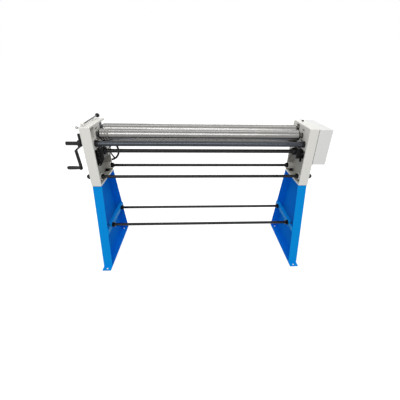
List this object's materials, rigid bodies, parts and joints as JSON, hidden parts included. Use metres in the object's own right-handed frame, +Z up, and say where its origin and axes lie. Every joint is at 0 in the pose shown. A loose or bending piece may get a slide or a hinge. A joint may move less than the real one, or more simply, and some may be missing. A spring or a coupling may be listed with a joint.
{
  "type": "slip roll machine",
  "caption": "Floor-standing three-roll slip roll for sheet metal: hand crank, geared pinch rolls, screw-lifted bending roll with handwheel, and a release lever on folded sheet legs.",
  "frame": {"origin": "bottom centre of the whole machine's box, on the floor", "axes": "+X along the rolls towards the gear cover, +Y away from the bending roll's side towards the handwheel, +Z up"},
  "size_m": [1.6976, 0.58, 1.0264],
  "materials": {
    "leg_blue": "gloss",
    "cast_grey": "satin",
    "cover_grey": "satin",
    "roll_steel": "polished",
    "shaft_steel": "polished",
    "black_steel": "satin",
    "black_plastic": "gloss",
    "gear_steel": "satin",
    "block_iron": "satin",
    "bronze": "satin"
  },
  "bodies": {
    "frame": {"left_leg": "leg_blue", "left_leg_strip": "leg_blue", "right_leg": "leg_blue", "right_leg_strip": "leg_blue", "left_housing": "cast_grey", "right_housing": "cast_grey", "gear_cover": "cover_grey", "upper_front_tie_rod": "black_steel", "upper_rear_tie_rod": "black_steel", "lower_front_tie_rod": "black_steel", "lower_rear_tie_rod": "black_steel", "left_front_inner_nut": "black_steel", "left_front_outer_nut": "black_steel", "left_rear_inner_nut": "black_steel", "left_rear_outer_nut": "black_steel", "right_front_inner_nut": "black_steel", "right_front_outer_nut": "black_steel", "right_rear_inner_nut": "black_steel", "right_rear_outer_nut": "black_steel", "left_drive_bearing": "black_steel", "right_drive_bearing": "black_steel", "idler_stud": "block_iron", "left_screw_bracket": "black_steel", "right_screw_bracket": "black_steel", "lever_bracket": "cast_grey", "ball_oiler": "black_steel"},
    "drive": {"drive_shaft": "shaft_steel", "stub_sleeve": "black_steel", "crank_arm": "black_steel", "crank_spindle": "black_steel", "drive_pinion": "gear_steel"},
    "crank_grip": {"crank_grip": "black_plastic"},
    "idler": {"idler_gear": "gear_steel"},
    "lower_lift": {"left_lower_block": "block_iron", "right_lower_block": "block_iron"},
    "left_pinch_screw": {"left_pinch_screw": "black_steel"},
    "right_pinch_screw": {"right_pinch_screw": "black_steel"},
    "lower_roll": {"lower_roll": "roll_steel", "lower_pinch_gear": "gear_steel", "lower_roll_drive_gear": "gear_steel"},
    "upper_swing": {"upper_left_block": "block_iron", "upper_right_bush": "bronze"},
    "upper_roll": {"upper_roll": "roll_steel", "upper_pinch_gear": "gear_steel"},
    "bending_lift": {"left_bending_block": "cast_grey", "right_bending_block": "cast_grey", "left_lift_screw": "black_steel", "right_lift_screw": "black_steel"},
    "bending_roll": {"bending_roll": "roll_steel"},
    "left_nut": {"left_gear_nut": "gear_steel"},
    "right_nut": {"right_gear_nut": "gear_steel"},
    "sync": {"sync_shaft": "black_steel", "left_sync_bevel": "gear_steel", "right_sync_bevel": "gear_steel"},
    "handwheel": {"handwheel": "black_steel", "handwheel_shaft": "black_steel", "handwheel_bevel": "gear_steel"},
    "handwheel_handle": {"handwheel_handle": "black_plastic"},
    "release_lever": {"release_lever": "shaft_steel", "release_knob": "black_plastic"}
  },
  "joints": [
    {"name": "lower_roll_lift", "type": "slide", "parent": "frame", "child": "lower_lift", "axis": [0, 0, 1], "range_m": [-0.0014, 0.0014]},
    {"name": "lower_roll_spin", "type": "hinge", "parent": "lower_lift", "child": "lower_roll", "pos_m": [0.0298, 0.061, 0.871], "axis": [1, 0, 0], "continuous": true},
    {"name": "left_pinch_screw_turn", "type": "hinge", "parent": "lower_lift", "child": "left_pinch_screw", "pos_m": [-0.6622, 0.061, 0.8], "axis": [0, 0, 1], "range_deg": [-254, 254]},
    {"name": "right_pinch_screw_turn", "type": "hinge", "parent": "lower_lift", "child": "right_pinch_screw", "pos_m": [0.7218, 0.061, 0.8], "axis": [0, 0, 1], "range_deg": [-254, 254]},
    {"name": "crank_spin", "type": "hinge", "parent": "frame", "child": "drive", "pos_m": [-0.7347, -0.097, 0.888], "axis": [1, 0, 0], "continuous": true},
    {"name": "crank_grip_spin", "type": "hinge", "parent": "drive", "child": "crank_grip", "pos_m": [-0.8065, -0.097, 0.727], "axis": [1, 0, 0], "continuous": true},
    {"name": "idler_spin", "type": "hinge", "parent": "frame", "child": "idler", "pos_m": [0.7938, -0.031, 0.87164], "axis": [1, 0, 0], "continuous": true},
    {"name": "upper_roll_swing", "type": "hinge", "parent": "frame", "child": "upper_swing", "pos_m": [0.7568, 0.061, 0.943], "axis": [0, 0, 1], "range_deg": [-3, 0]},
    {"name": "upper_roll_spin", "type": "hinge", "parent": "upper_swing", "child": "upper_roll", "pos_m": [0.0298, 0.061, 0.943], "axis": [1, 0, 0], "continuous": true},
    {"name": "handwheel_spin", "type": "hinge", "parent": "frame", "child": "handwheel", "pos_m": [-0.6622, 0.188, 0.756], "axis": [0, 1, 0], "range_deg": [-900, 2700]},
    {"name": "bending_roll_lift", "type": "slide", "parent": "frame", "child": "bending_lift", "axis": [0, 0, 1], "range_m": [-0.0301, 0.0101]},
    {"name": "bending_roll_spin", "type": "hinge", "parent": "bending_lift", "child": "bending_roll", "pos_m": [0.0298, -0.034, 0.93], "axis": [1, 0, 0], "continuous": true},
    {"name": "left_nut_turn", "type": "hinge", "parent": "frame", "child": "left_nut", "pos_m": [-0.6622, -0.034, 0.822], "axis": [0, 0, 1], "range_deg": [-2701, 901]},
    {"name": "right_nut_turn", "type": "hinge", "parent": "frame", "child": "right_nut", "pos_m": [0.7218, -0.034, 0.822], "axis": [0, 0, 1], "range_deg": [-901, 2701]},
    {"name": "sync_shaft_turn", "type": "hinge", "parent": "frame", "child": "sync", "pos_m": [0.0298, -0.034, 0.822], "axis": [1, 0, 0], "range_deg": [-2701, 901]},
    {"name": "handwheel_handle_spin", "type": "hinge", "parent": "handwheel", "child": "handwheel_handle", "pos_m": [-0.7352, 0.218, 0.756], "axis": [0, 1, 0], "continuous": true},
    {"name": "release_lever_lift", "type": "hinge", "parent": "frame", "child": "release_lever", "pos_m": [-0.6842, -0.118, 1.008], "axis": [1, 0, 0], "range_deg": [0, 80]}
  ],
  "couplings": [
    {"joint": "crank_spin", "follows": "lower_roll_spin", "ratio": 1.8571},
    {"joint": "idler_spin", "follows": "lower_roll_spin", "ratio": -1.3},
    {"joint": "upper_roll_spin", "follows": "lower_roll_spin", "ratio": -1},
    {"joint": "left_pinch_screw_turn", "follows": "lower_roll_lift", "rad_per_m": 3141.6},
    {"joint": "right_pinch_screw_turn", "follows": "lower_roll_lift", "rad_per_m": 3141.6},
    {"joint": "bending_roll_lift", "follows": "handwheel_spin", "m_per_rad": -0.00063662},
    {"joint": "left_nut_turn", "follows": "handwheel_spin", "ratio": -1},
    {"joint": "right_nut_turn", "follows": "handwheel_spin", "ratio": 1},
    {"joint": "sync_shaft_turn", "follows": "handwheel_spin", "ratio": -1}
  ]
}
